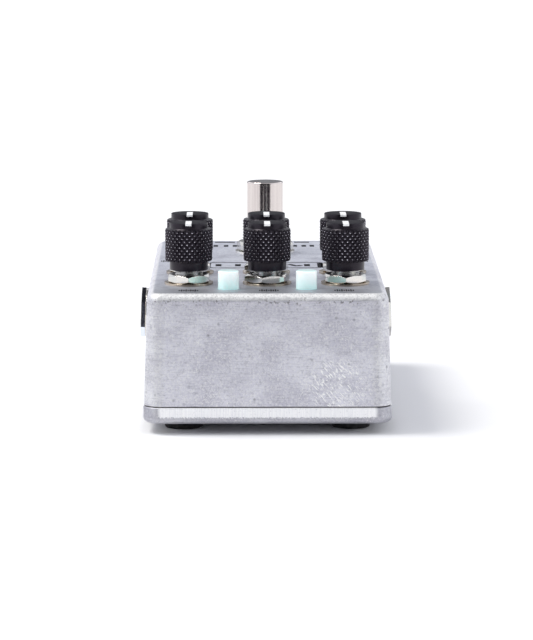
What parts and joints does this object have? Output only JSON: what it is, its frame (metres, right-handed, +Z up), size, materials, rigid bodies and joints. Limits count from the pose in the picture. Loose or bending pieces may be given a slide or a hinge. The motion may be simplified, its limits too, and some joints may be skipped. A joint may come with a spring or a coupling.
{
  "type": "guitar effects pedal",
  "caption": "Small die-cast stomp box with knurled knobs, flat-topped status lights, a footswitch and side jacks.",
  "frame": {"origin": "on the floor under the rubber feet, at the middle of the enclosure", "axes": "+Z up, +Y from the knob end to the footswitch end, +X to the input jack's side"},
  "size_m": [0.0646, 0.1124, 0.0534],
  "materials": {
    "cast_aluminium": "raw die-cast, sanded and mottled",
    "zinc_steel": "bright zinc plate",
    "black_rubber": "matt moulded rubber",
    "black_moulding": "moulded nylon",
    "blue_moulding": "moulded, glossy",
    "tinned_metal": "tinned, satin",
    "nickel_plate": "bright nickel plate",
    "polished_nickel": "polished nickel plate",
    "diffused_lens": "milky mint epoxy, diffused",
    "circuit_laminate": "green solder mask",
    "capacitor_sleeve": "shrink sleeve",
    "resistor_coat": "lacquered",
    "wire_insulation": "PVC insulation",
    "black_anodised": "black anodised, knurled",
    "white_paint": "white filled line",
    "black_oxide_steel": "black oxide",
    "brass_shaft": "turned brass"
  },
  "bodies": {
    "enclosure": {"enclosure_shell": "cast_aluminium", "base_lid": "cast_aluminium", "lid_screws": "zinc_steel", "rubber_feet": "black_rubber", "pot_bushings": "zinc_steel", "pot_cases": "black_moulding", "pot_terminals": "tinned_metal", "pot_washers": "nickel_plate", "pot_nuts": "nickel_plate", "led_left": "diffused_lens", "led_right": "diffused_lens", "led_leads": "tinned_metal", "footswitch_bushing": "nickel_plate", "footswitch_frame": "zinc_steel", "footswitch_case": "blue_moulding", "footswitch_spring": "zinc_steel", "footswitch_lugs": "tinned_metal", "footswitch_board": "circuit_laminate", "footswitch_washer": "nickel_plate", "footswitch_nut": "nickel_plate", "footswitch_inner_nut": "nickel_plate", "output_jack_bushing": "nickel_plate", "output_jack_case": "black_moulding", "input_jack_bushing": "nickel_plate", "input_jack_case": "black_moulding", "jack_contacts": "tinned_metal", "jack_washers": "nickel_plate", "jack_nuts": "nickel_plate", "dc_jack_housing": "black_moulding", "dc_jack_pin": "nickel_plate", "main_circuit_board": "circuit_laminate", "circuit_chips": "black_moulding", "circuit_capacitors": "capacitor_sleeve", "circuit_resistors": "resistor_coat", "wire_harness": "wire_insulation"},
    "knob_1_rotor": {"knob_1": "black_anodised", "knob_indicator_1": "white_paint", "knob_set_screw_1": "black_oxide_steel", "pot_shaft_1": "brass_shaft"},
    "knob_2_rotor": {"knob_2": "black_anodised", "knob_indicator_2": "white_paint", "knob_set_screw_2": "black_oxide_steel", "pot_shaft_2": "brass_shaft"},
    "knob_3_rotor": {"knob_3": "black_anodised", "knob_indicator_3": "white_paint", "knob_set_screw_3": "black_oxide_steel", "pot_shaft_3": "brass_shaft"},
    "knob_4_rotor": {"knob_4": "black_anodised", "knob_indicator_4": "white_paint", "knob_set_screw_4": "black_oxide_steel", "pot_shaft_4": "brass_shaft"},
    "knob_5_rotor": {"knob_5": "black_anodised", "knob_indicator_5": "white_paint", "knob_set_screw_5": "black_oxide_steel", "pot_shaft_5": "brass_shaft"},
    "knob_6_rotor": {"knob_6": "black_anodised", "knob_indicator_6": "white_paint", "knob_set_screw_6": "black_oxide_steel", "pot_shaft_6": "brass_shaft"},
    "footswitch_plunger": {"footswitch_button": "polished_nickel"}
  },
  "joints": [
    {"name": "knob_1_turn", "type": "hinge", "parent": "enclosure", "child": "knob_1_rotor", "pos_m": [-0.0193, -0.036, 0.0433], "axis": [0, 0, 1], "range_deg": [-150, 150]},
    {"name": "knob_2_turn", "type": "hinge", "parent": "enclosure", "child": "knob_2_rotor", "pos_m": [0, -0.036, 0.0433], "axis": [0, 0, 1], "range_deg": [-150, 150]},
    {"name": "knob_3_turn", "type": "hinge", "parent": "enclosure", "child": "knob_3_rotor", "pos_m": [0.0193, -0.036, 0.0433], "axis": [0, 0, 1], "range_deg": [-150, 150]},
    {"name": "knob_4_turn", "type": "hinge", "parent": "enclosure", "child": "knob_4_rotor", "pos_m": [-0.0193, -0.0153, 0.0433], "axis": [0, 0, 1], "range_deg": [-150, 150]},
    {"name": "knob_5_turn", "type": "hinge", "parent": "enclosure", "child": "knob_5_rotor", "pos_m": [0, -0.0153, 0.0433], "axis": [0, 0, 1], "range_deg": [-150, 150]},
    {"name": "knob_6_turn", "type": "hinge", "parent": "enclosure", "child": "knob_6_rotor", "pos_m": [0.0193, -0.0153, 0.0433], "axis": [0, 0, 1], "range_deg": [-150, 150]},
    {"name": "footswitch_press", "type": "slide", "parent": "enclosure", "child": "footswitch_plunger", "axis": [0, 0, -1], "range_m": [0, 0.0025], "stiffness_N_per_m": 900, "springref_m": -0.004, "deforming": ["footswitch_spring"]}
  ]
}
